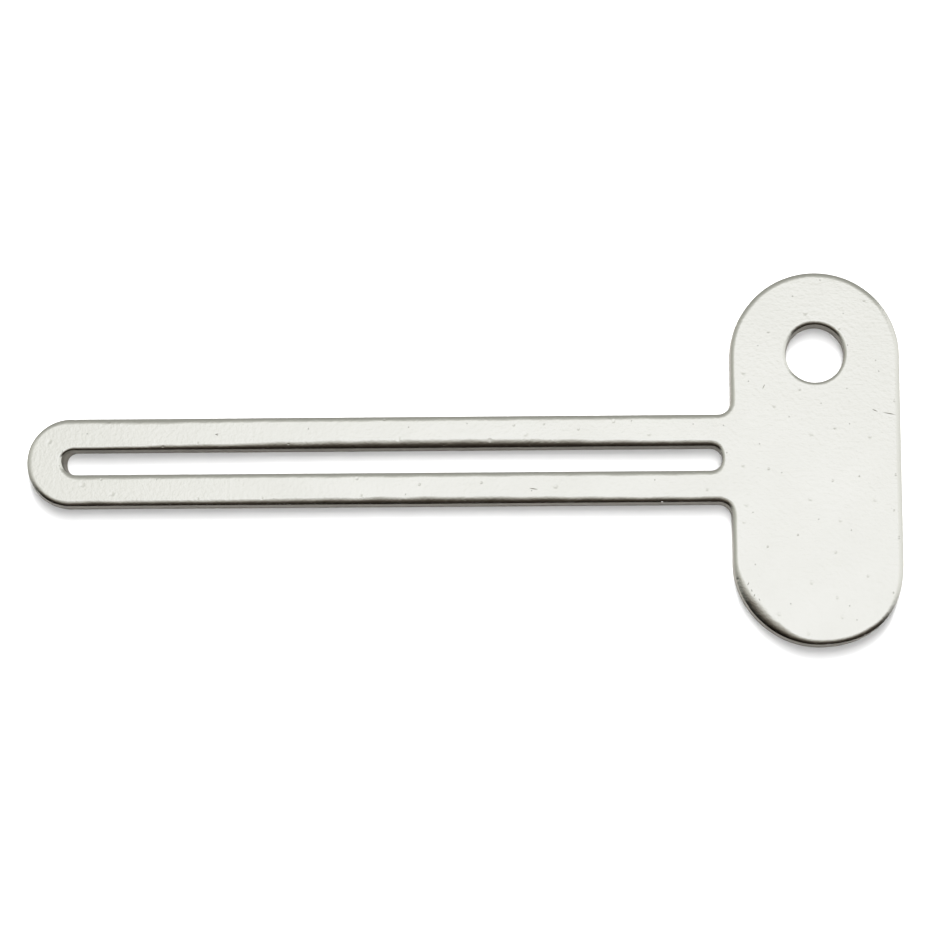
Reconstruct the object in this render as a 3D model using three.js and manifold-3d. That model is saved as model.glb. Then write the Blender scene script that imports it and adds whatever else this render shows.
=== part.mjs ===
/**
 * Slotted winding key for squeezable tubes.
 *
 * The key is one blank stamped from stainless-steel sheet: a long shank with a
 * closed slot along it, a round-ended handle across one end of the shank, and a
 * hole for hanging near one end of the handle. The crimped end of a tube goes
 * into the slot, and the handle turns it.
 *
 * The blank is divided where the slot's straight sides begin and end, into its
 * tip, its two rails and its handle. The four meet face to face and make up the
 * whole plate. Each rail is then a plain bar, so the slot between them stays open
 * to anything that works on convex shapes.
 *
 * Millimetres. +X runs along the shank to the handle, +Y across the shank to the
 * end of the handle with the hole, and +Z up through the sheet. The origin is the
 * centre of the plate's bounding box in X and Y, on the underside.
 */
import * as THREE from 'three';
import { mergeVertices } from 'three/addons/utils/BufferGeometryUtils.js';
import Module from 'manifold-3d';

// Overall size.
const LENGTH = 105;
const SHEET = 2;

// Shank: two long rails either side of the slot, joined by a round tip.
const SHANK_WIDTH = 10.87;
const SHANK_FILLET = 1.5;

// Handle: a stadium, its long axis across the shank.
const HANDLE_WIDTH = 20.43;
const HANDLE_LENGTH = 45.25;

// Slot: one round end at the handle, and a squarer end at the tip.
const SLOT_WIDTH = 2.74;
const SLOT_TIP_WALL = 4.8;
const SLOT_LENGTH = 78.72;
const SLOT_TIP_CORNER = 1.25;

// Hanging hole, a little beyond the centre of one of the handle's round ends.
const HOLE_DIAMETER = 6.78;
const HOLE_SHIFT = 0.2;

// Edges: the punch rolls the upper edge over, and the lower one is only broken.
const EDGE_ROLL = 0.4;
const EDGE_BREAK = 0.15;
const ROLL_STEPS = 4;
const BREAK_STEPS = 2;
const ARC_STEPS = 12;

// Places worked out from the sizes above.
const HANDLE_RADIUS = HANDLE_WIDTH / 2;
const HANDLE_X = LENGTH / 2 - HANDLE_RADIUS;
const HANDLE_END_Y = HANDLE_LENGTH / 2 - HANDLE_RADIUS;
const HANDLE_INNER_X = HANDLE_X - HANDLE_RADIUS;
const HOLE_Y = HANDLE_END_Y + HOLE_SHIFT;
const SHANK_RADIUS = SHANK_WIDTH / 2;
const TIP_X = -LENGTH / 2 + SHANK_RADIUS;
const SLOT_RADIUS = SLOT_WIDTH / 2;
const SLOT_START_X = -LENGTH / 2 + SLOT_TIP_WALL;
const SLOT_END_X = SLOT_START_X + SLOT_LENGTH;

// The planes that divide the blank, where the slot's straight sides begin and end.
const TIP_PLANE_X = SLOT_START_X + SLOT_TIP_CORNER;
const HANDLE_PLANE_X = SLOT_END_X - SLOT_RADIUS;

// How far a dividing box reaches past the plate on its open sides.
const CLEAR = 5;

/** The outside of the key, anticlockwise from the foot of the tip. */
function keyOutline() {
  const fillet = SHANK_FILLET;
  const filletX = HANDLE_INNER_X - fillet;
  const filletY = SHANK_RADIUS + fillet;
  const quarter = Math.PI / 2;
  const outline = new THREE.Shape();
  outline.moveTo(TIP_X, -SHANK_RADIUS);
  outline.absarc(filletX, -filletY, fillet, quarter, 0, true);
  outline.absarc(HANDLE_X, -HANDLE_END_Y, HANDLE_RADIUS, Math.PI, 2 * Math.PI, false);
  outline.absarc(HANDLE_X, HANDLE_END_Y, HANDLE_RADIUS, 0, Math.PI, false);
  outline.absarc(filletX, filletY, fillet, 0, -quarter, true);
  outline.absarc(TIP_X, 0, SHANK_RADIUS, quarter, 3 * quarter, false);
  return outline;
}

/** The long slot in the shank that takes the flat end of a tube. */
function slotOutline() {
  const corner = SLOT_TIP_CORNER;
  const cornerX = SLOT_START_X + corner;
  const cornerY = SLOT_RADIUS - corner;
  const quarter = Math.PI / 2;
  const slot = new THREE.Path();
  slot.moveTo(cornerX, -SLOT_RADIUS);
  slot.absarc(SLOT_END_X - SLOT_RADIUS, 0, SLOT_RADIUS, -quarter, quarter, false);
  slot.absarc(cornerX, cornerY, corner, quarter, 2 * quarter, false);
  slot.absarc(cornerX, -cornerY, corner, 2 * quarter, 3 * quarter, false);
  return slot;
}

/** The hanging hole, as two half circles. */
function hangingHoleOutline() {
  const hole = new THREE.Path();
  hole.absarc(HANDLE_X, HOLE_Y, HOLE_DIAMETER / 2, 0, Math.PI, false);
  hole.absarc(HANDLE_X, HOLE_Y, HOLE_DIAMETER / 2, Math.PI, 2 * Math.PI, false);
  return hole;
}

/** The blank between two heights, with every edge rounded by one radius. */
function roundedBlank(bottom, top, edge, steps) {
  const blank = keyOutline();
  blank.holes = [slotOutline(), hangingHoleOutline()];
  const geometry = new THREE.ExtrudeGeometry(blank, {
    depth: top - bottom - 2 * edge,
    bevelEnabled: true,
    bevelThickness: edge,
    bevelSize: edge,
    bevelOffset: -edge,
    bevelSegments: steps,
    curveSegments: ARC_STEPS,
  });
  geometry.translate(0, 0, bottom + edge);
  return geometry;
}

/** A closed geometry as a manifold-3d solid. */
function toSolid(wasm, geometry) {
  const bare = geometry.clone();
  bare.deleteAttribute('normal');
  bare.deleteAttribute('uv');
  const merged = mergeVertices(bare, 1e-4);
  const mesh = new wasm.Mesh({
    numProp: 3,
    vertProperties: merged.attributes.position.array,
    triVerts: new Uint32Array(merged.index.array),
  });
  return new wasm.Manifold(mesh);
}

/** A manifold-3d solid as a three.js geometry. */
function toGeometry(solid) {
  const mesh = solid.getMesh();
  const geometry = new THREE.BufferGeometry();
  geometry.setAttribute('position', new THREE.BufferAttribute(mesh.vertProperties, 3));
  geometry.setIndex(new THREE.BufferAttribute(mesh.triVerts, 1));
  geometry.computeVertexNormals();
  return geometry;
}

/**
 * The whole plate. One blank reaches below the sheet and has the rolled edge on
 * top; the other reaches above it and has the small edge break underneath. What
 * they share has both edges.
 */
function wholePlate(wasm) {
  const rolledOnTop = roundedBlank(-SHEET, SHEET, EDGE_ROLL, ROLL_STEPS);
  const brokenBelow = roundedBlank(0, 2 * SHEET, EDGE_BREAK, BREAK_STEPS);
  return toSolid(wasm, rolledOnTop).intersect(toSolid(wasm, brokenBelow));
}

/** The part of the plate inside an upright box over one stretch of the plan. */
function regionOfPlate(wasm, plate, [xLow, xHigh], [yLow, yHigh]) {
  const box = new THREE.BoxGeometry(xHigh - xLow, yHigh - yLow, SHEET + 2 * CLEAR);
  box.translate((xLow + xHigh) / 2, (yLow + yHigh) / 2, SHEET / 2);
  return toGeometry(plate.intersect(toSolid(wasm, box)));
}

/** Tumbled stainless steel. */
function stainlessSteel() {
  return new THREE.MeshStandardMaterial({ color: 0xdedcd5, metalness: 1, roughness: 0.38 });
}

/** One named sub-part of the plate. */
function subPart(name, geometry) {
  const mesh = new THREE.Mesh(geometry, stainlessSteel());
  mesh.name = name;
  return mesh;
}

const wasm = await Module();
wasm.setup();

const plate = wholePlate(wasm);
const endX = LENGTH / 2 + CLEAR;
const sideY = HANDLE_LENGTH / 2 + CLEAR;
const regions = {
  shank_tip: [[-endX, TIP_PLANE_X], [-sideY, sideY]],
  near_rail: [[TIP_PLANE_X, HANDLE_PLANE_X], [-sideY, 0]],
  far_rail: [[TIP_PLANE_X, HANDLE_PLANE_X], [0, sideY]],
  handle: [[HANDLE_PLANE_X, endX], [-sideY, sideY]],
};

const group = new THREE.Group();
for (const [name, [alongX, alongY]] of Object.entries(regions)) {
  group.add(subPart(name, regionOfPlate(wasm, plate, alongX, alongY)));
}

export default group;
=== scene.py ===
"""A slotted winding key for squeezable tubes, stamped from stainless-steel sheet.

The key is one blank: a long shank with a closed slot, a round-ended handle across
one end of the shank, and a hanging hole near one end of the handle. This script
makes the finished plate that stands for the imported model's plain one: its rolled
upper edges, its sheared walls and the tumbled surface of the steel.

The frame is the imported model's own: +X runs along the shank to the handle, +Y to
the handle end with the hole, and +Z up through the sheet, with the underside at
zero. Sizes here are in millimetres unless a name says otherwise.
"""

from __future__ import annotations

import logging
import math
from dataclasses import dataclass, field
from enum import Enum

import bmesh
import bpy
from mathutils import Euler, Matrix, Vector, noise

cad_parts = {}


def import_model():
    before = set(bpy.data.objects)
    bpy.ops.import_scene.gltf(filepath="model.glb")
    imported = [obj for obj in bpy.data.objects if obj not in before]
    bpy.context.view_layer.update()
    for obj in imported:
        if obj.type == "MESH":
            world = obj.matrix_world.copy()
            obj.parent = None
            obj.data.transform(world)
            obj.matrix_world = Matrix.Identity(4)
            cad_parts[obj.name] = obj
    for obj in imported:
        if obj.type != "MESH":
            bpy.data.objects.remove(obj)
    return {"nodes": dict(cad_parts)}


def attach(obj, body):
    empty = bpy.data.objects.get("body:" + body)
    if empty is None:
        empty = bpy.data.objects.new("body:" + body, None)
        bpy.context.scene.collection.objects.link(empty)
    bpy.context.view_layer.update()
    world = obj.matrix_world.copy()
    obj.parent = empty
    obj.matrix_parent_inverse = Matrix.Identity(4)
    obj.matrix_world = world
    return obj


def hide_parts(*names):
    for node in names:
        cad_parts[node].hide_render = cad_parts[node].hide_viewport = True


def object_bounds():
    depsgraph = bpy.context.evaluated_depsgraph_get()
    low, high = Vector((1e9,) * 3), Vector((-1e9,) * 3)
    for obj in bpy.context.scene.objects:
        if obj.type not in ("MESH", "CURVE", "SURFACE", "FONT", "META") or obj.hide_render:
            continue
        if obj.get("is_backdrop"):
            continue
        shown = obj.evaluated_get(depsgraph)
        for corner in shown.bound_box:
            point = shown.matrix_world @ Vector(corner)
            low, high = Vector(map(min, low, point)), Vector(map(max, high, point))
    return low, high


LOG = logging.getLogger("winding_key")

MM = 0.001

# The third coordinate of each noise on the edge, so that no two run alike.
ROLL_NOISE = 4.0
BORDER_NOISE = 9.0

VertexLoop = list[bmesh.types.BMVert]


def metres(millimetres: float) -> float:
    """Turn millimetres into Blender's metres."""
    return millimetres * MM


def linear(hex_colour: str) -> tuple[float, float, float, float]:
    """Turn an sRGB hex colour into a linear colour with full alpha.

    Args:
        hex_colour: Six hex digits after a hash, such as "#DAD7CE".

    Returns:
        Linear red, green, blue and an alpha of one.
    """
    digits = hex_colour.lstrip("#")
    channels = [int(digits[i : i + 2], 16) / 255 for i in (0, 2, 4)]
    lit = [c / 12.92 if c <= 0.04045 else ((c + 0.055) / 1.055) ** 2.4 for c in channels]
    return (lit[0], lit[1], lit[2], 1.0)


def smooth_step(value: float) -> float:
    """Ease a value from 0 to 1, clamped at both ends."""
    held = min(1.0, max(0.0, value))
    return held * held * (3 - 2 * held)


def add_node(
    tree: bpy.types.NodeTree,
    kind: str,
    settings: dict[str, object] | None = None,
    inputs: dict[str | int, object] | None = None,
) -> bpy.types.Node:
    """Add a node with its settings, its input values and its links.

    Args:
        tree: The node tree that gets the node.
        kind: The node's Blender type name.
        settings: Properties of the node to set.
        inputs: Values for its inputs. An output socket given here is linked.

    Returns:
        The new node.
    """
    node = tree.nodes.new(kind)
    for name, value in (settings or {}).items():
        setattr(node, name, value)
    for name, value in (inputs or {}).items():
        socket = node.inputs[name]
        if isinstance(value, bpy.types.NodeSocket):
            tree.links.new(value, socket)
        else:
            socket.default_value = value
    return node


# --------------------------------------------------------------------------
# The outline of the blank
# --------------------------------------------------------------------------


@dataclass(frozen=True)
class RimPoint:
    """One place on a rim of the blank.

    Attributes:
        place: Where it is in the plane of the sheet.
        outward: The unit direction that leaves the metal there.
    """

    place: Vector
    outward: Vector


@dataclass(frozen=True)
class Arc:
    """A round stretch of a rim. Straight stretches join one arc to the next.

    Attributes:
        centre: The arc's centre.
        radius: Its radius.
        start: The angle it starts at, in degrees.
        sweep: How far it turns, in degrees, anticlockwise if positive.
    """

    centre: tuple[float, float]
    radius: float
    start: float
    sweep: float

    def at(self, share: float) -> tuple[Vector, Vector]:
        """Place and travel direction at a share of the arc from 0 to 1."""
        angle = math.radians(self.start + self.sweep * share)
        arm = Vector((math.cos(angle), math.sin(angle)))
        travel = Vector((-arm.y, arm.x)) * math.copysign(1, self.sweep)
        return Vector(self.centre) + arm * self.radius, travel

    def steps(self, spacing: float) -> int:
        """How many steps of about this spacing the arc takes, eight at least."""
        length = abs(math.radians(self.sweep)) * self.radius
        return max(8, math.ceil(length / spacing))


def walk_rim(arcs: list[Arc], spacing: float) -> list[RimPoint]:
    """Sample a closed rim with the metal on the left of travel.

    Args:
        arcs: The rim's arcs in order, tangent to the lines between them.
        spacing: The distance between samples.

    Returns:
        The rim's points, with none repeated at the close.
    """
    places: list[tuple[Vector, Vector]] = []
    for arc, following in zip(arcs, arcs[1:] + arcs[:1]):
        count = arc.steps(spacing)
        places += [arc.at(i / count) for i in range(count)]
        leave, travel = arc.at(1)
        reach, _ = following.at(0)
        gap = (reach - leave).length
        if gap > spacing / 10:
            hops = math.ceil(gap / spacing)
            places += [(leave.lerp(reach, i / hops), travel) for i in range(hops)]
    return [RimPoint(place, Vector((travel.y, -travel.x))) for place, travel in places]


# --------------------------------------------------------------------------
# The edge of the blank, from the upper face down the sheared wall
# --------------------------------------------------------------------------


class Zone(Enum):
    """The finishes across the edge of the blank, in material-slot order."""

    TUMBLED = 0
    SHEARED = 1


@dataclass(frozen=True)
class WornStretch:
    """A stretch of edge that differs from the rest, strongest at its centre.

    What made it differ isn't known: it may be wear, grinding or the press.

    Attributes:
        centre: The middle of the stretch, in the plane of the sheet.
        reach: The half-lengths along X and Y over which it fades away.
        extra_width: How much wider the rolled edge is there.
        extra_turn: How much steeper the rolled edge ends there, in degrees.
        pull_in: How far the whole edge stands back there, outward if negative.
        lean: How far the top of the wall leans back from its foot there.
        facing: The outward direction it is on, or None for every direction.
    """

    centre: tuple[float, float]
    reach: tuple[float, float]
    extra_width: float = 0.0
    extra_turn: float = 0.0
    pull_in: float = 0.0
    lean: float = 0.0
    facing: tuple[float, float] | None = None

    def strength(self, point: RimPoint) -> float:
        """How much of the difference a rim point gets, from 0 to 1."""
        away = point.place - Vector(self.centre)
        distance = math.hypot(away.x / self.reach[0], away.y / self.reach[1])
        share = smooth_step(1 - distance)
        if self.facing is not None:
            share *= smooth_step(2 * point.outward.dot(Vector(self.facing)) - 0.5)
        return share


@dataclass
class ShearedEdge:
    """The cross-section of the stamped edge.

    A blanked edge has four bands: a die roll where the sheet's face was drawn
    down, a burnished band where the punch slid past it, a rough band where the
    last of the metal tore, and a small break where the burr was taken off. The
    roll is a little steeper toward -Y, as a punch a little off square leaves it.

    Attributes:
        roll_width: The die roll's width across the upper face.
        roll_turn: How steep the roll is where it meets the wall, in degrees.
        roll_tilt: How much steeper that is on the side toward -Y, in degrees,
            and how much less steep toward +Y.
        corner: The radius that joins the roll to the wall.
        burnish_share: The share of the sheet's thickness that is burnished.
        lean: How far the wall's top stands back from its foot. It is a guess: seen
            from above, a square wall on a thicker sheet would look much the same.
        shoulder: The flat strip between the upper face's fill and the roll.
        roll_waver: The share by which the roll's width varies along the edge.
        roll_waver_rate: How fast it varies, per millimetre.
        border_waver: How far the border of the two wall bands moves up and down.
        least_burnish: The least height of the burnished band.
        tear: The size of the torn band's unevenness.
        tear_rates: How fast that varies along the wall and down it, per millimetre.
        underside_break: The radius of the break at the underside.
        roll_steps: The levels down the roll.
        roll_bunching: How closely those levels bunch toward the roll's foot.
        tear_steps: The levels down the torn band.
        break_steps: The levels round the break at the underside.
        worn: The stretches that differ.
    """

    roll_width: float = 0.62
    roll_turn: float = 41.0
    roll_tilt: float = 4.5
    corner: float = 0.012
    burnish_share: float = 0.42
    lean: float = 0.15
    shoulder: float = 0.06
    roll_waver: float = 0.14
    roll_waver_rate: float = 0.35
    border_waver: float = 0.12
    least_burnish: float = 0.1
    tear: float = 0.022
    tear_rates: tuple[float, float] = (3.1, 2.2)
    underside_break: float = 0.10
    roll_steps: int = 10
    roll_bunching: float = 1.4
    tear_steps: int = 8
    break_steps: int = 3
    worn: list[WornStretch] = field(default_factory=list)

    def column(self, point: RimPoint, sheet: float) -> list[tuple[float, float, Zone]]:
        """The edge's section at one rim point.

        Args:
            point: The place on the rim.
            sheet: The sheet's thickness.

        Returns:
            Inset from the rim, height, and the finish of the band below each
            level, from the upper face down to the underside.
        """
        shares = [(stretch, stretch.strength(point)) for stretch in self.worn]
        width = self.roll_width + sum(w.extra_width * share for w, share in shares)
        turn = self.roll_turn + sum(w.extra_turn * share for w, share in shares)
        turn -= self.roll_tilt * point.outward.y
        pull_in = sum(w.pull_in * share for w, share in shares)
        lean = self.lean + sum(w.lean * share for w, share in shares)
        x, y = point.place
        rate = self.roll_waver_rate
        width *= 1 + self.roll_waver * noise.noise(Vector((x * rate, y * rate, ROLL_NOISE)))

        radius = width / math.sin(math.radians(turn))
        levels = [(width + self.shoulder + lean, sheet, Zone.TUMBLED)]
        for i in range(self.roll_steps + 1):
            done = 1 - (1 - i / self.roll_steps) ** self.roll_bunching
            angle = math.radians(turn * done)
            inset = width - radius * math.sin(angle) + self.corner + lean
            levels.append((inset, sheet - radius * (1 - math.cos(angle)), Zone.TUMBLED))
        roll_foot = levels[-1][1]
        levels[-1] = (self.corner + lean, roll_foot, Zone.SHEARED)

        wall_top = roll_foot - self.corner
        foot = self.underside_break
        waver = self.border_waver * noise.noise(Vector((x, y, BORDER_NOISE)))
        torn_top = sheet * (1 - self.burnish_share) + waver
        torn_top = min(torn_top, wall_top - self.least_burnish)
        slope = lean / (wall_top - foot)
        levels.append((lean, wall_top, Zone.SHEARED))
        levels.append((slope * (torn_top - foot), torn_top, Zone.SHEARED))
        along, down = self.tear_rates
        for i in range(1, self.tear_steps + 1):
            share = i / self.tear_steps
            height = torn_top + (foot - torn_top) * share
            grain = noise.noise(Vector((x * along, y * along, height * down)))
            # The unevenness grows over the band's first third.
            rough = self.tear * (0.5 + 0.5 * grain) * min(1.0, 3 * share)
            levels.append((rough + slope * (height - foot), height, Zone.SHEARED))
        last_inset = levels[-1][0]
        for i in range(1, self.break_steps + 1):
            angle = math.radians(90 * i / self.break_steps)
            inset = last_inset + foot * (1 - math.cos(angle))
            levels.append((inset, foot * (1 - math.sin(angle)), Zone.TUMBLED))
        return [(inset + pull_in, height, zone) for inset, height, zone in levels]


# --------------------------------------------------------------------------
# Finishes
# --------------------------------------------------------------------------


@dataclass(frozen=True)
class Nick:
    """A short scratch that something sharp left in the face.

    Attributes:
        place: Its middle, in the plane of the sheet.
        length: Its length.
        turn: Its direction, in degrees from +X.
    """

    place: tuple[float, float]
    length: float
    turn: float


@dataclass(frozen=True)
class TumbledStainless:
    """Stainless-steel sheet, such as 304, with a mill finish, deburred by tumbling.

    The rolling mill leaves the sheet bright, with very fine lines along it, and
    tumbling adds tiny peen marks and dents: the reflection is soft at its edges
    and broken here and there by a dot with a light and a dark side. The base colour
    is the light, slightly warm grey of stainless steel, fully metallic.

    Real peen marks are a few hundredths of a millimetre across and the mill's lines
    finer still. Both are drawn ten times coarser or more, so that they show. Where
    the dents and clouds fall is chance, and the nicks are placed one by one.

    Attributes:
        name: The material's name.
        colour: The base colour.
        dull_colour: The base colour in the middle of a cloud.
        nick_colour: The tint that darkens a nick.
        roughness: The roughness between clouds.
        smoother: How much smoother than that the clearest places are.
        rougher: How much rougher than that the cloudiest places are.
        cloud_mm: The clouds' size.
        cloud_range: The part of the clouds' noise that changes the roughness.
        peen_mm: The peen marks' size as drawn.
        peen_depth_mm: Their depth.
        line_mm: The mill lines' width as drawn.
        line_depth_mm: Their depth.
        line_stretch: How many times longer than wide the lines are.
        dent_mm: The spacing of the dents.
        dent_radius_mm: The largest dent's radius.
        dent_depth_mm: The dents' depth.
        smallest_dent: The smallest dent's radius as a share of the largest's.
        smallest_share: The share of the dents that are the smallest.
        nick_half_width_mm: Half a nick's width.
        nicks: The nicks.
    """

    name: str = "tumbled_mill_finish_stainless_steel"
    colour: str = "#EDEDE9"
    dull_colour: str = "#E8E8E3"
    nick_colour: str = "#DEDDD8"
    roughness: float = 0.13
    smoother: float = 0.02
    rougher: float = 0.03
    cloud_mm: float = 9.0
    cloud_range: tuple[float, float] = (0.3, 0.7)
    peen_mm: float = 0.5
    peen_depth_mm: float = 0.026
    line_mm: float = 0.28
    line_depth_mm: float = 0.004
    line_stretch: float = 22.0
    dent_mm: float = 3.8
    dent_radius_mm: float = 0.44
    dent_depth_mm: float = 0.023
    smallest_dent: float = 0.2
    smallest_share: float = 0.35
    nick_half_width_mm: float = 0.06
    nicks: tuple[Nick, ...] = (
        Nick((51.0, 5.2), 1.9, -11.0),
        Nick((49.3, 5.6), 0.9, -24.0),
        Nick((36.1, 8.6), 0.8, 62.0),
        Nick((-29.5, 3.3), 0.6, 14.0),
        Nick((8.5, -3.6), 1.3, -8.0),
        Nick((33.9, -15.2), 0.5, 60.0),
        Nick((34.3, -16.0), 0.4, -70.0),
        Nick((34.6, -16.6), 0.5, 65.0),
        Nick((35.2, -17.1), 0.4, -62.0),
    )

    def build(self) -> bpy.types.Material:
        """Make the material with its clouds, grain, dents and nicks."""
        material = bpy.data.materials.new(self.name)
        material.use_nodes = True
        tree = material.node_tree
        tree.nodes.clear()
        place = add_node(tree, "ShaderNodeTexCoord").outputs["Object"]
        clouds = add_node(
            tree,
            "ShaderNodeTexNoise",
            inputs={
                "Vector": place,
                "Scale": 1 / metres(self.cloud_mm),
                "Detail": 4.0,
                "Roughness": 0.6,
            },
        ).outputs["Fac"]
        dents = self.dents(tree, place)
        nicks = self.scored(tree, place)
        marks = add_node(
            tree, "ShaderNodeMath", {"operation": "MAXIMUM"}, {0: dents, 1: nicks}
        ).outputs[0]
        colour = add_node(
            tree,
            "ShaderNodeMix",
            {"data_type": "RGBA"},
            {"Factor": clouds, 6: linear(self.colour), 7: linear(self.dull_colour)},
        ).outputs[2]
        marked = add_node(
            tree,
            "ShaderNodeMix",
            {"data_type": "RGBA", "blend_type": "MULTIPLY"},
            {"Factor": nicks, 6: colour, 7: linear(self.nick_colour)},
        ).outputs[2]
        roughness = add_node(
            tree,
            "ShaderNodeMapRange",
            inputs={
                "Value": clouds,
                "From Min": self.cloud_range[0],
                "From Max": self.cloud_range[1],
                "To Min": self.roughness - self.smoother,
                "To Max": self.roughness + self.rougher,
            },
        ).outputs[0]
        relief = add_node(
            tree,
            "ShaderNodeBump",
            {"invert": True},
            {
                "Strength": 1.0,
                "Distance": metres(self.dent_depth_mm),
                "Height": marks,
                "Normal": self.grain(tree, place),
            },
        ).outputs[0]
        steel = add_node(
            tree,
            "ShaderNodeBsdfPrincipled",
            inputs={
                "Base Color": marked,
                "Metallic": 1.0,
                "Roughness": roughness,
                "Normal": relief,
            },
        ).outputs[0]
        add_node(tree, "ShaderNodeOutputMaterial", inputs={"Surface": steel})
        return material

    def grain(
        self, tree: bpy.types.NodeTree, place: bpy.types.NodeSocket
    ) -> bpy.types.NodeSocket:
        """The peen marks over the mill's lines, which run along the shank.

        Args:
            tree: The material's node tree.
            place: The point on the surface, in metres.

        Returns:
            The surface's normal with both in it.
        """
        lines_place = add_node(
            tree,
            "ShaderNodeMapping",
            inputs={"Vector": place, "Scale": (1 / self.line_stretch, 1.0, 1.0)},
        ).outputs[0]
        layers = (
            (lines_place, self.line_mm, self.line_depth_mm),
            (place, self.peen_mm, self.peen_depth_mm),
        )
        normal = add_node(tree, "ShaderNodeNewGeometry").outputs["Normal"]
        for layer_place, size_mm, depth_mm in layers:
            height = add_node(
                tree,
                "ShaderNodeTexNoise",
                inputs={
                    "Vector": layer_place,
                    "Scale": 1 / metres(size_mm),
                    "Detail": 3.0,
                    "Roughness": 0.6,
                },
            ).outputs["Fac"]
            normal = add_node(
                tree,
                "ShaderNodeBump",
                inputs={
                    "Strength": 1.0,
                    "Distance": metres(depth_mm),
                    "Height": height,
                    "Normal": normal,
                },
            ).outputs[0]
        return normal

    def scored(
        self, tree: bpy.types.NodeTree, place: bpy.types.NodeSocket
    ) -> bpy.types.NodeSocket:
        """The nicks, each a long thin ellipse.

        Args:
            tree: The material's node tree.
            place: The point on the surface, in metres.

        Returns:
            One in the middle of a nick and zero outside every nick.
        """
        mask: bpy.types.NodeSocket | float = 0.0
        for nick in self.nicks:
            across = add_node(
                tree,
                "ShaderNodeMapping",
                {"vector_type": "TEXTURE"},
                {
                    "Vector": place,
                    "Location": (metres(nick.place[0]), metres(nick.place[1]), 0.0),
                    "Rotation": (0.0, 0.0, math.radians(nick.turn)),
                    "Scale": (metres(nick.length / 2), metres(self.nick_half_width_mm), 1.0),
                },
            ).outputs[0]
            reach = add_node(
                tree, "ShaderNodeVectorMath", {"operation": "LENGTH"}, {0: across}
            ).outputs["Value"]
            mark = add_node(
                tree,
                "ShaderNodeMapRange",
                {"interpolation_type": "SMOOTHSTEP"},
                {"Value": reach, "From Min": 1.0, "From Max": 0.0},
            ).outputs[0]
            mask = add_node(
                tree, "ShaderNodeMath", {"operation": "MAXIMUM"}, {0: mark, 1: mask}
            ).outputs[0]
        return mask

    def dents(
        self, tree: bpy.types.NodeTree, place: bpy.types.NodeSocket
    ) -> bpy.types.NodeSocket:
        """Tiny round dents where parts knocked together in the tumbler.

        Args:
            tree: The material's node tree.
            place: The point on the surface, in metres.

        Returns:
            How deep the surface is in a dent, from 0 to 1.
        """
        nearest = add_node(
            tree,
            "ShaderNodeTexVoronoi",
            {"feature": "F1", "distance": "EUCLIDEAN", "voronoi_dimensions": "2D"},
            {"Vector": place, "Scale": 1 / metres(self.dent_mm), "Randomness": 1.0},
        )
        size = add_node(tree, "ShaderNodeSeparateColor", inputs={0: nearest.outputs["Color"]})
        reach = self.dent_radius_mm / self.dent_mm
        radius = add_node(
            tree,
            "ShaderNodeMapRange",
            inputs={
                "Value": size.outputs[0],
                "From Min": self.smallest_share,
                "To Min": reach * self.smallest_dent,
                "To Max": reach,
            },
        ).outputs[0]
        return add_node(
            tree,
            "ShaderNodeMapRange",
            {"interpolation_type": "SMOOTHSTEP"},
            {"Value": nearest.outputs["Distance"], "From Min": radius, "From Max": 0.0},
        ).outputs[0]


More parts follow.
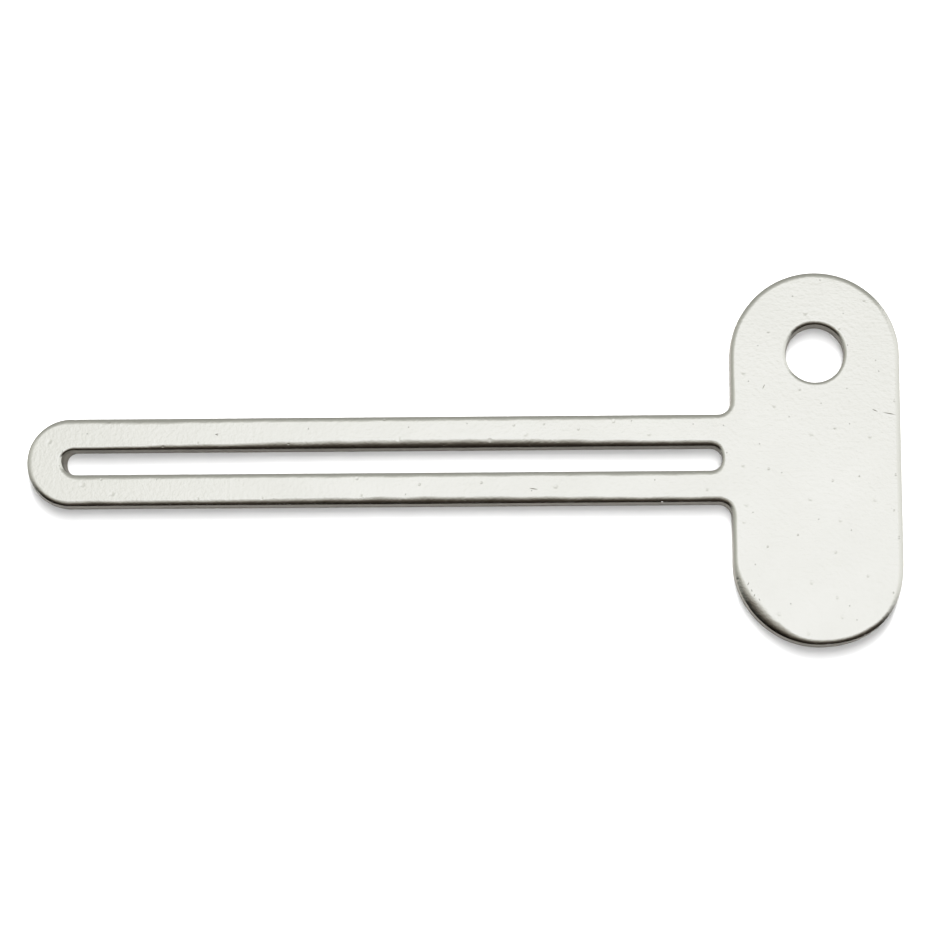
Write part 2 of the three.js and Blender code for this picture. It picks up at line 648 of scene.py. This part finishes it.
@dataclass(frozen=True)
class ShearedStainless:
    """The same steel where the punch sheared it.

    The burnished band is drawn smooth, with fine drag lines down it, and is the
    darker one. The torn band below is grainy and a dull mid grey, because its rough
    surface scatters what it mirrors. Both colours are far darker than the steel of
    the face: in part that is the sheared steel's own duller look, and in part it is
    painted shade for the dark side of the room and the shaded table by the wall's
    foot, which the walls mirror. Both colours were matched.

    Attributes:
        name: The material's name.
        burnished: The burnished band's colour, in part painted shade.
        torn: The torn band's colour, in part painted shade.
        roughness: The burnished band's roughness.
        extra_roughness: How much rougher the torn band is.
        drag_mm: The drag lines' width.
        drag_squeeze: How slowly the drag lines change down the wall.
        grain_mm: The torn band's grain.
        relief_mm: The depth of the lines and the grain.
        relief_strength: How strongly that depth shows.
        torn_top_mm: The height of the torn band's top.
        border_mm: The ends of the soft border between the bands, above torn_top_mm,
            before its waver is taken off.
        waver_mm: The length of the border's waver.
        waver_height_mm: The height of the border's waver.
    """

    name: str = "sheared_stainless_steel"
    # Both wall colours are in part painted shade: darker than steel, they paint the dark room
    # and the shaded table that the walls mirror.
    burnished: str = "#77736B"
    torn: str = "#928E86"
    roughness: float = 0.42
    extra_roughness: float = 0.18
    drag_mm: float = 0.12
    drag_squeeze: float = 0.06
    grain_mm: float = 0.10
    relief_mm: float = 0.02
    relief_strength: float = 0.6
    torn_top_mm: float = 1.15
    border_mm: tuple[float, float] = (0.33, 0.20)
    waver_mm: float = 1.3
    waver_height_mm: float = 0.5

    def build(self) -> bpy.types.Material:
        """Make the material with its two bands and their relief."""
        material = bpy.data.materials.new(self.name)
        material.use_nodes = True
        tree = material.node_tree
        tree.nodes.clear()
        place = add_node(tree, "ShaderNodeTexCoord").outputs["Object"]
        drag_place = add_node(
            tree,
            "ShaderNodeMapping",
            inputs={"Vector": place, "Scale": (1.0, 1.0, self.drag_squeeze)},
        ).outputs[0]
        drag = add_node(
            tree,
            "ShaderNodeTexNoise",
            inputs={"Vector": drag_place, "Scale": 1 / metres(self.drag_mm), "Detail": 2.0},
        ).outputs["Fac"]
        grain = add_node(
            tree,
            "ShaderNodeTexNoise",
            inputs={"Vector": place, "Scale": 1 / metres(self.grain_mm), "Detail": 3.0},
        ).outputs["Fac"]
        height = add_node(tree, "ShaderNodeSeparateXYZ", inputs={0: place}).outputs["Z"]
        waver = add_node(
            tree,
            "ShaderNodeTexNoise",
            inputs={"Vector": place, "Scale": 1 / metres(self.waver_mm), "Detail": 3.0},
        ).outputs["Fac"]
        border = add_node(
            tree,
            "ShaderNodeMath",
            {"operation": "MULTIPLY_ADD"},
            {0: waver, 1: metres(self.waver_height_mm), 2: height},
        ).outputs[0]
        torn = add_node(
            tree,
            "ShaderNodeMapRange",
            {"interpolation_type": "SMOOTHSTEP"},
            {
                "Value": border,
                "From Min": metres(self.torn_top_mm + self.border_mm[0]),
                "From Max": metres(self.torn_top_mm + self.border_mm[1]),
            },
        ).outputs[0]
        relief = add_node(
            tree, "ShaderNodeMix", {"data_type": "FLOAT"}, {"Factor": torn, 2: drag, 3: grain}
        ).outputs[0]
        colour = add_node(
            tree,
            "ShaderNodeMix",
            {"data_type": "RGBA"},
            {"Factor": torn, 6: linear(self.burnished), 7: linear(self.torn)},
        ).outputs[2]
        roughness = add_node(
            tree,
            "ShaderNodeMapRange",
            inputs={
                "Value": torn,
                "To Min": self.roughness,
                "To Max": self.roughness + self.extra_roughness,
            },
        ).outputs[0]
        bump = add_node(
            tree,
            "ShaderNodeBump",
            inputs={
                "Strength": self.relief_strength,
                "Distance": metres(self.relief_mm),
                "Height": relief,
            },
        ).outputs[0]
        steel = add_node(
            tree,
            "ShaderNodeBsdfPrincipled",
            inputs={
                "Base Color": colour,
                "Metallic": 1.0,
                "Roughness": roughness,
                "Normal": bump,
            },
        ).outputs[0]
        add_node(tree, "ShaderNodeOutputMaterial", inputs={"Surface": steel})
        return material


# --------------------------------------------------------------------------
# The plate
# --------------------------------------------------------------------------


@dataclass
class KeyPlate:
    """The key itself: one stamped plate.

    Attributes:
        length: Overall length along the shank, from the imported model.
        handle_length: The handle's length across the shank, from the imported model.
        sheet: The sheet's thickness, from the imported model.
        shank_width: The shank's width over both rails.
        shank_fillet: The radius where the shank meets the handle.
        handle_width: The handle's width, twice the radius of its round ends.
        slot_width: The slot's width.
        slot_tip_wall: The metal left between the slot and the tip.
        slot_length: The slot's length.
        slot_tip_corner: The corner radius at the slot's squarer end.
        hole_diameter: The hanging hole's diameter.
        hole_shift: How far the hole is beyond the round end's centre.
        spacing: The distance between the rim's mesh columns.
        edge: The edge's cross-section.
    """

    length: float
    handle_length: float
    sheet: float
    shank_width: float = 10.87
    shank_fillet: float = 1.5
    handle_width: float = 20.43
    slot_width: float = 2.74
    slot_tip_wall: float = 4.80
    slot_length: float = 78.72
    slot_tip_corner: float = 1.25
    hole_diameter: float = 6.78
    hole_shift: float = 0.2
    spacing: float = 0.28
    edge: ShearedEdge = field(default_factory=ShearedEdge)

    @property
    def handle_centre(self) -> tuple[float, float]:
        """The centre of the round end that has the hanging hole."""
        radius = self.handle_width / 2
        return self.length / 2 - radius, self.handle_length / 2 - radius

    def outer_rim(self) -> list[Arc]:
        """The outside of the key, anticlockwise from the shank's near fillet."""
        x, y = self.handle_centre
        end = self.handle_width / 2
        fillet = self.shank_fillet
        fillet_x = x - end - fillet
        fillet_y = self.shank_width / 2 + fillet
        tip = self.shank_width / 2
        return [
            Arc((fillet_x, -fillet_y), fillet, 90, -90),
            Arc((x, -y), end, 180, 180),
            Arc((x, y), end, 0, 180),
            Arc((fillet_x, fillet_y), fillet, 0, -90),
            Arc((tip - self.length / 2, 0), tip, 90, 180),
        ]

    def slot_rim(self) -> list[Arc]:
        """The slot, clockwise, so that the metal stays on the left."""
        start = self.slot_tip_wall - self.length / 2
        end = self.slot_width / 2
        corner = self.slot_tip_corner
        corner_x = start + corner
        corner_y = end - corner
        return [
            Arc((start + self.slot_length - end, 0), end, 90, -180),
            Arc((corner_x, -corner_y), corner, 270, -90),
            Arc((corner_x, corner_y), corner, 180, -90),
        ]

    def hole_rim(self) -> list[Arc]:
        """The hanging hole, clockwise."""
        x, y = self.handle_centre
        return [Arc((x, y + self.hole_shift), self.hole_diameter / 2, 0, -360)]

    def add_rim(self, mesh: bmesh.types.BMesh, arcs: list[Arc]) -> tuple[VertexLoop, VertexLoop]:
        """Add one rim's edge bands to the mesh.

        Args:
            mesh: The mesh being built.
            arcs: The rim.

        Returns:
            The loops of vertices that border the upper face and the underside.
        """
        columns = []
        zones: list[Zone] = []
        for point in walk_rim(arcs, self.spacing):
            levels = self.edge.column(point, self.sheet)
            column = []
            for inset, height, _ in levels:
                flat = (point.place - point.outward * inset) * MM
                column.append(mesh.verts.new((flat.x, flat.y, metres(height))))
            columns.append(column)
            zones = [zone for _, _, zone in levels]
        for column, following in zip(columns, columns[1:] + columns[:1]):
            for level in range(len(column) - 1):
                face = mesh.faces.new(
                    (column[level], column[level + 1], following[level + 1], following[level])
                )
                face.material_index = zones[level].value
                face.smooth = True
        return [c[0] for c in columns], [c[-1] for c in columns]

    def cap(self, mesh: bmesh.types.BMesh, loops: list[VertexLoop]) -> None:
        """Fill one flat face of the plate between its outline and its openings.

        Args:
            mesh: The mesh being built.
            loops: The vertex loops of the outline, the slot and the hole.
        """
        edges = []
        for loop in loops:
            for vertex, following in zip(loop, loop[1:] + loop[:1]):
                edges.append(mesh.edges.get((vertex, following)))
        filled = bmesh.ops.triangle_fill(mesh, use_beauty=True, use_dissolve=False, edges=edges)
        for face in filled["geom"]:
            if isinstance(face, bmesh.types.BMFace):
                face.material_index = Zone.TUMBLED.value
                face.smooth = True

    def build(self) -> bpy.types.Object:
        """Make the plate's mesh and dress it in its two finishes.

        Returns:
            The finished object, in place in the frame.
        """
        mesh = bmesh.new()
        rims = [self.outer_rim(), self.slot_rim(), self.hole_rim()]
        borders = [self.add_rim(mesh, rim) for rim in rims]
        self.cap(mesh, [upper for upper, _ in borders])
        self.cap(mesh, [under for _, under in borders])
        bmesh.ops.recalc_face_normals(mesh, faces=mesh.faces)
        data = bpy.data.meshes.new("stamped_key_plate")
        mesh.to_mesh(data)
        mesh.free()
        data.materials.append(TumbledStainless().build())
        data.materials.append(ShearedStainless().build())
        plate = bpy.data.objects.new("stamped_key_plate", data)
        bpy.context.scene.collection.objects.link(plate)
        return plate


def worn_stretches() -> list[WornStretch]:
    """The stretches where the edge differs, each set to match the real key."""
    toward_user = (0.0, -1.0)
    away_from_user = (0.0, 1.0)
    return [
        WornStretch((-3.0, -5.4), (40.0, 6.0), extra_width=0.38, facing=toward_user),
        WornStretch((-42.0, -5.4), (14.0, 4.0), extra_width=0.10, facing=toward_user),
        WornStretch((30.0, -5.4), (9.0, 4.0), extra_width=0.10, facing=toward_user),
        WornStretch((-2.0, 1.4), (42.0, 4.0), extra_width=0.54, facing=toward_user),
        WornStretch((-46.0, 2.0), (16.0, 6.0), extra_width=-0.20, facing=toward_user),
        WornStretch((-38.0, 5.4), (14.0, 5.0), extra_width=0.12, facing=away_from_user),
        WornStretch((-51.0, 3.6), (4.5, 4.5), extra_width=-0.16),
        WornStretch((-53.0, 1.3), (5.0, 4.6), extra_turn=-18.0),
        WornStretch((-47.6, 0.4), (1.6, 1.9), lean=0.40, extra_width=-0.15),
        WornStretch((31.2, 0.0), (1.8, 1.8), extra_width=-0.34, pull_in=0.08, lean=-0.09),
        WornStretch((42.2, 12.0), (12.0, 5.0), extra_width=-0.34),
        WornStretch((42.2, 9.2), (3.5, 2.5), extra_width=-0.05),
        WornStretch((45.7, 12.6), (2.5, 3.0), pull_in=0.09, lean=-0.09),
        WornStretch((32.1, 12.0), (3.0, 14.0), extra_width=-0.12),
        WornStretch((32.1, -11.0), (2.2, 6.5), extra_width=-0.14, pull_in=0.07),
        WornStretch((35.3, -18.7), (8.0, 8.0), extra_width=0.92, extra_turn=-4.0, pull_in=0.10),
        WornStretch((49.8, -19.6), (8.0, 8.0), extra_width=0.02, pull_in=-0.34, lean=-0.15),
    ]


# --------------------------------------------------------------------------
# The studio and the camera
# --------------------------------------------------------------------------


@dataclass(frozen=True)
class RoomSide:
    """What the room looks like from overhead down to the horizon on one side.

    Attributes:
        toward: The compass angles it covers, in degrees from +X.
        shades: Its colours, each with its angle down from overhead in degrees.
    """

    toward: tuple[float, ...]
    shades: tuple[tuple[float, str], ...]


HANDLE_SIDE = RoomSide(
    toward=(0.0,),
    shades=((8, "#FFFFFF"), (22, "#F4F4F1"), (60, "#E8E8E4"), (90, "#DCDCD7")),
)
FAR_SIDE = RoomSide(
    toward=(90.0,),
    shades=(
        (8, "#FFFFFF"),
        (13, "#FDFDFC"),
        (18, "#EBEBE7"),
        (28, "#C9C9C4"),
        (42, "#ABABA5"),
        (65, "#9C9C96"),
    ),
)
TIP_SIDE = RoomSide(
    toward=(180.0,),
    shades=(
        (3, "#FFFFFF"),
        (10, "#F5F5F2"),
        (15, "#E9E9E4"),
        (27, "#D0D0CA"),
        (50, "#AEAEA7"),
    ),
)
CORNER_SIDE = RoomSide(
    toward=(215.0, 240.0),
    shades=(
        (3, "#FFFFFF"),
        (12, "#D8D7D3"),
        (25, "#ABA8A1"),
        (40, "#6A645C"),
        (54, "#38322B"),
        (66, "#030302"),
    ),
)
DARK_SIDE = RoomSide(
    toward=(270.0, 300.0, 322.0),
    shades=(
        (3, "#FFFFFF"),
        (12, "#D8D7D3"),
        (25, "#A5A29B"),
        (40, "#565049"),
        (56, "#342E28"),
        (75, "#1A1611"),
    ),
)


@dataclass
class Studio:
    """A white table under a broad soft light, in a room that is dark on one side.

    The two are set apart, so this is no real studio: the steel mirrors the room and
    not the lamps, and the lamps light the table, which the room doesn't.

    Attributes:
        floor_half: Half the floor's side, in metres.
        floor_drop: How far the table is below the key.
        floor_colour: The table's colour.
        sides: The room's sides.
        side_focus: How sharply one side gives way to the next.
        sky_strength: How bright the room is.
        lamps: The heights of the tall soft lamp's panels, in degrees, and their
            strengths. It is strongest low down.
        lamp_spread: How broad a panel is, in degrees.
        lamp_turn: How far the panels stand round toward +X, in degrees.
        fill_height: The height of the weak panel behind the camera, in degrees
            from the horizon beyond the key.
        fill_power: The strength of that panel.
    """

    floor_half: float = 3.0
    floor_drop: float = 0.01
    floor_colour: str = "#F4F4F4"
    sides: tuple[RoomSide, ...] = (
        HANDLE_SIDE,
        FAR_SIDE,
        TIP_SIDE,
        CORNER_SIDE,
        DARK_SIDE,
    )
    side_focus: float = 14.0
    sky_strength: float = 1.075
    lamps: tuple[tuple[float, float], ...] = ((24.0, 4.6), (40.0, 3.0), (58.0, 1.4), (74.0, 0.8))
    lamp_spread: float = 26.0
    lamp_turn: float = 5.0
    fill_height: float = 106.0
    fill_power: float = 1.4

    def build_floor(self) -> None:
        """Make the table top just under the key."""
        mesh = bmesh.new()
        half = self.floor_half
        corners = [(-half, -half), (half, -half), (half, half), (-half, half)]
        drop = metres(self.floor_drop)
        mesh.faces.new([mesh.verts.new((x, y, -drop)) for x, y in corners])
        data = bpy.data.meshes.new("table_top")
        mesh.to_mesh(data)
        mesh.free()
        floor = bpy.data.objects.new("table_top", data)
        bpy.context.scene.collection.objects.link(floor)
        data.materials.append(self.floor_material())
        floor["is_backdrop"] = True

    def floor_material(self) -> bpy.types.Material:
        """Plain white matt paper."""
        material = bpy.data.materials.new("white_paper")
        material.use_nodes = True
        tree = material.node_tree
        tree.nodes.clear()
        paper = add_node(
            tree, "ShaderNodeBsdfDiffuse", inputs={"Color": linear(self.floor_colour)}
        ).outputs[0]
        add_node(tree, "ShaderNodeOutputMaterial", inputs={"Surface": paper})
        return material

    def build_room(self) -> None:
        """Surround the table with the room that the steel mirrors.

        Each side's colours run down from overhead. A direction takes a share of
        every side that it points toward, and the shares are scaled to add up to
        one.
        """
        world = bpy.data.worlds.new("studio_room")
        bpy.context.scene.world = world
        world.use_nodes = True
        world.cycles_visibility.diffuse = False
        tree = world.node_tree
        tree.nodes.clear()
        toward = add_node(tree, "ShaderNodeTexCoord").outputs["Generated"]
        height = add_node(tree, "ShaderNodeSeparateXYZ", inputs={0: toward}).outputs["Z"]
        from_overhead = add_node(
            tree, "ShaderNodeMath", {"operation": "ARCCOSINE"}, {0: height}
        ).outputs[0]
        down = add_node(
            tree,
            "ShaderNodeMath",
            {"operation": "DIVIDE"},
            {0: from_overhead, 1: math.radians(90)},
        ).outputs[0]
        flat = add_node(
            tree, "ShaderNodeVectorMath", {"operation": "MULTIPLY"}, {0: toward, 1: (1, 1, 0)}
        ).outputs[0]
        bearing = add_node(
            tree, "ShaderNodeVectorMath", {"operation": "NORMALIZE"}, {0: flat}
        ).outputs[0]
        room: bpy.types.NodeSocket | tuple = (0.0, 0.0, 0.0)
        total: bpy.types.NodeSocket | float = 0.0
        for side in self.sides:
            ramp = add_node(tree, "ShaderNodeValToRGB", inputs={"Fac": down})
            stops = ramp.color_ramp.elements
            stops.remove(stops[1])
            for index, (angle, shade) in enumerate(side.shades):
                stop = stops.new(angle / 90) if index else stops[0]
                stop.position = angle / 90
                stop.color = linear(shade)
            for compass in side.toward:
                share = self.share_toward(tree, bearing, compass)
                shaded = add_node(
                    tree,
                    "ShaderNodeVectorMath",
                    {"operation": "SCALE"},
                    {0: ramp.outputs[0], "Scale": share},
                ).outputs[0]
                room = add_node(
                    tree, "ShaderNodeVectorMath", {"operation": "ADD"}, {0: shaded, 1: room}
                ).outputs[0]
                total = add_node(
                    tree, "ShaderNodeMath", {"operation": "ADD"}, {0: share, 1: total}
                ).outputs[0]
        evened = add_node(
            tree, "ShaderNodeMath", {"operation": "DIVIDE"}, {0: self.sky_strength, 1: total}
        ).outputs[0]
        light = add_node(
            tree, "ShaderNodeBackground", inputs={"Color": room, "Strength": evened}
        ).outputs[0]
        add_node(tree, "ShaderNodeOutputWorld", inputs={"Surface": light})

    def share_toward(
        self, tree: bpy.types.NodeTree, bearing: bpy.types.NodeSocket, compass: float
    ) -> bpy.types.NodeSocket:
        """How far a bearing points toward one compass angle.

        Args:
            tree: The room's node tree.
            bearing: The unit direction over the table.
            compass: The angle, in degrees from +X.

        Returns:
            One straight toward that angle, falling to zero at right angles to it.
        """
        ahead = (math.cos(math.radians(compass)), math.sin(math.radians(compass)), 0)
        facing = add_node(
            tree, "ShaderNodeVectorMath", {"operation": "DOT_PRODUCT"}, {0: bearing, 1: ahead}
        ).outputs["Value"]
        held = add_node(
            tree, "ShaderNodeMath", {"operation": "MAXIMUM"}, {0: facing, 1: 0.0}
        ).outputs[0]
        return add_node(
            tree, "ShaderNodeMath", {"operation": "POWER"}, {0: held, 1: self.side_focus}
        ).outputs[0]

    def build_panel(self, name: str, height: float, power: float) -> None:
        """Hang one soft panel that lights the table and isn't mirrored in the steel.

        Args:
            name: The panel's name.
            height: Its height above the horizon beyond the key, in degrees. More
                than 90 puts it behind the camera.
            power: Its strength.
        """
        data = bpy.data.lights.new(name, "SUN")
        data.energy = power
        data.angle = math.radians(self.lamp_spread)
        panel = bpy.data.objects.new(name, data)
        turns = (math.radians(height - 90), 0.0, math.radians(-self.lamp_turn))
        panel.rotation_euler = Euler(turns)
        panel.visible_glossy = False
        bpy.context.scene.collection.objects.link(panel)

    def build(self) -> None:
        """Make the floor, the room and the panels, and set plain colour handling."""
        self.build_floor()
        self.build_room()
        for height, power in self.lamps:
            self.build_panel(f"soft_panel_{height:.0f}", height, power)
        self.build_panel("fill_panel", self.fill_height, self.fill_power)
        scene = bpy.context.scene
        scene.view_settings.view_transform = "Standard"
        scene.view_settings.look = "None"


@dataclass
class CopyCamera:
    """A camera on a copy stand, almost straight above the key.

    Attributes:
        place: Where the lens is, in millimetres.
        tilt: The turns about X, Y and Z from looking straight down, in degrees.
        lens: The focal length, in millimetres.
        sensor: The sensor's width, in millimetres.
        sees: The nearest and farthest distances it sees, in metres.
    """

    place: tuple[float, float, float] = (14.44, -68.54, 408.95)
    tilt: tuple[float, float, float] = (9.47, 1.96, -0.42)
    lens: float = 133.63
    sensor: float = 36.0
    sees: tuple[float, float] = (0.01, 20.0)

    def build(self) -> None:
        """Make the camera and make it the scene's own."""
        data = bpy.data.cameras.new("copy_camera")
        data.lens = self.lens
        data.sensor_width = self.sensor
        data.clip_start, data.clip_end = self.sees
        camera = bpy.data.objects.new("copy_camera", data)
        camera.location = Vector(self.place) * MM
        turns = Euler([math.radians(turn) for turn in self.tilt], "ZYX")
        camera.rotation_euler = turns.to_matrix().to_euler("XYZ")
        bpy.context.scene.collection.objects.link(camera)
        bpy.context.scene.camera = camera


def corners(box: tuple[Vector, Vector]) -> list[list[float]]:
    """A box's two corners as plain lists of numbers."""
    return [[float(value) for value in corner] for corner in box]


def main() -> None:
    """Build the key and its studio."""
    logging.basicConfig(level=logging.INFO, format="%(name)s: %(message)s")
    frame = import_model()
    packed_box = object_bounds()
    low, high = (corner / MM for corner in packed_box)

    CopyCamera().build()
    Studio().build()

    key = KeyPlate(
        length=high.x - low.x,
        handle_length=high.y - low.y,
        sheet=high.z - low.z,
        edge=ShearedEdge(worn=worn_stretches()),
    )
    plate = key.build()
    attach(plate, "root")
    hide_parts(*frame["nodes"])
    LOG.info("%s: %d faces", plate.name, len(plate.data.polygons))


if __name__ == "__main__":
    main()
